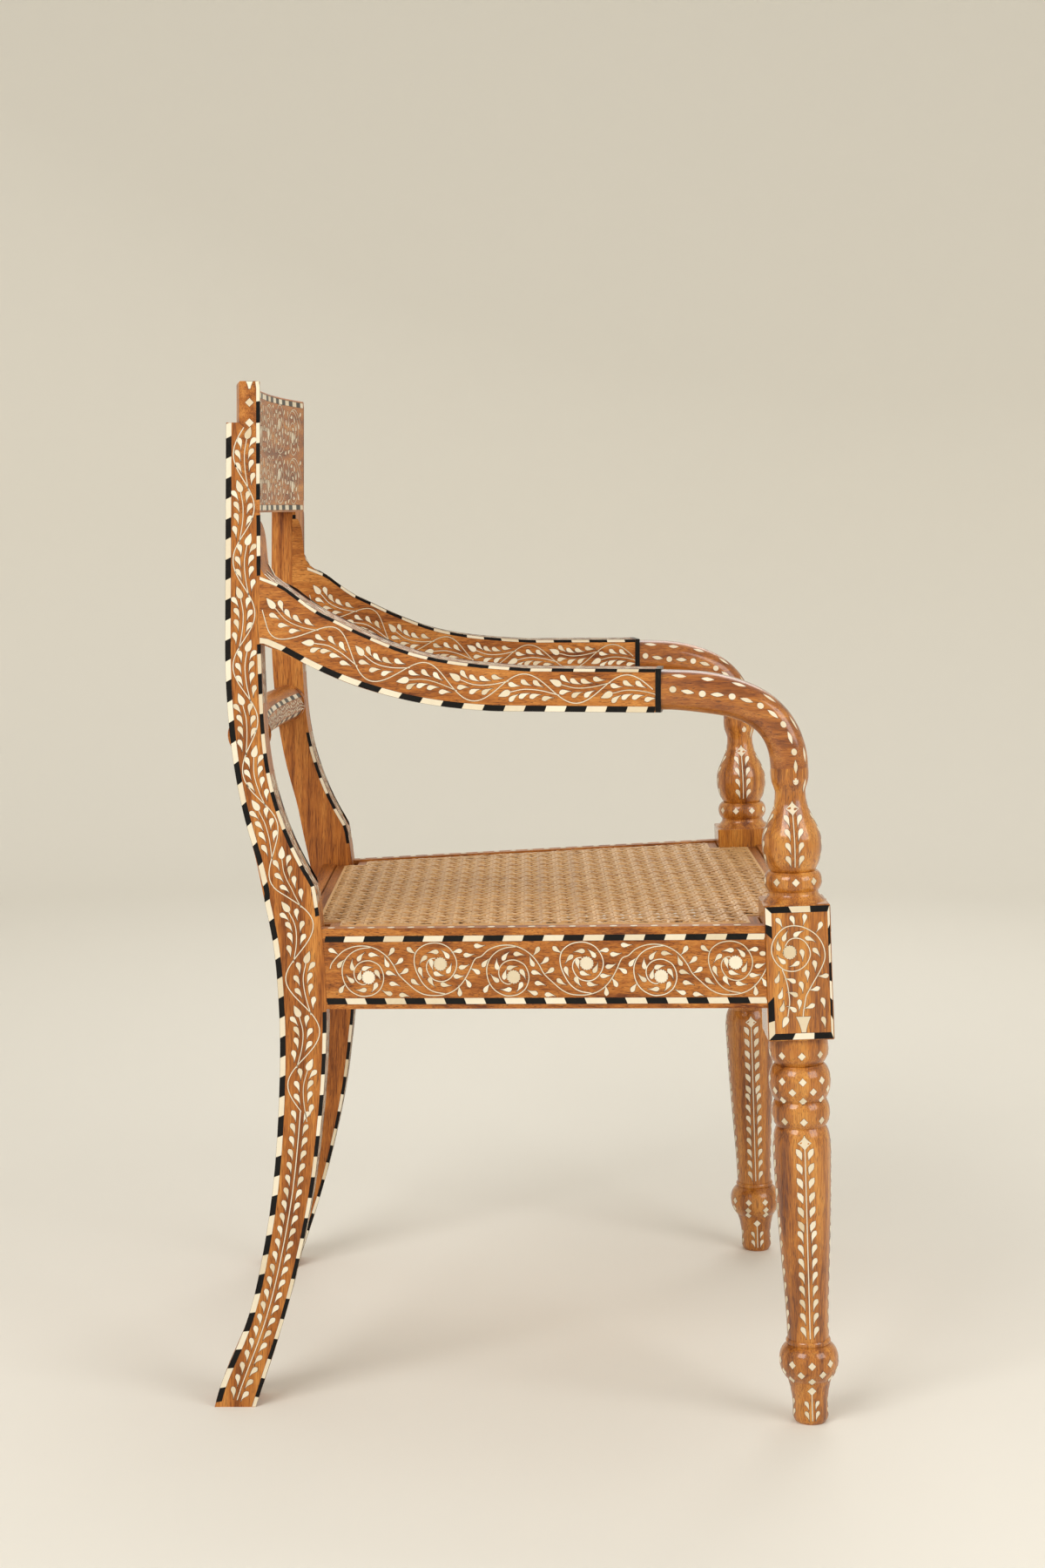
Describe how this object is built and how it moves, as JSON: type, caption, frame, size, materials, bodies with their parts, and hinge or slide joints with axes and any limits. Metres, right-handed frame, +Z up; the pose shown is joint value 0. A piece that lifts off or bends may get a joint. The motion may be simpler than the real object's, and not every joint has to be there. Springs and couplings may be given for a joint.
{
  "type": "dining armchair",
  "caption": "Dining armchair: caned seat, sabre rear legs, turned front legs, downswept arms on turned supports and a bowed crest tablet, in teak inlaid with bone and horn.",
  "frame": {"origin": "on the floor, in the middle of the chair's whole box seen from above", "axes": "+Z up, -Y towards the front of the chair, +X towards the sitter's left"},
  "size_m": [0.58, 0.5514, 0.908],
  "materials": {
    "teak": "oiled and waxed teak, satin",
    "frame_wood": "plain sawn and planed",
    "cane": "woven rattan cane, satin",
    "bone": "polished bone inlay",
    "horn": "polished black horn",
    "steel": "bright wood screws"
  },
  "bodies": {
    "root": {"arm_dowels": "teak", "arm_knuckle_left": "teak", "arm_knuckle_right": "teak", "arm_left": "teak", "arm_right": "teak", "back_bar": "teak", "crest_pegs": "teak", "crest_rail": "teak", "front_post_left": "teak", "front_post_right": "teak", "front_rail": "teak", "rear_post_left": "teak", "rear_post_right": "teak", "rear_rail": "teak", "side_rail_left": "teak", "side_rail_right": "teak", "corner_block_front_left": "frame_wood", "corner_block_front_right": "frame_wood", "corner_block_rear_left": "frame_wood", "corner_block_rear_right": "frame_wood", "seat_frame_front": "frame_wood", "seat_frame_left": "frame_wood", "seat_frame_rear": "frame_wood", "seat_frame_right": "frame_wood", "cane_panel": "cane", "cane_spline": "cane", "arm_band_left": "horn", "arm_band_right": "horn", "corner_screws": "steel", "seat_screws": "steel"}
  },
  "joints": []
}
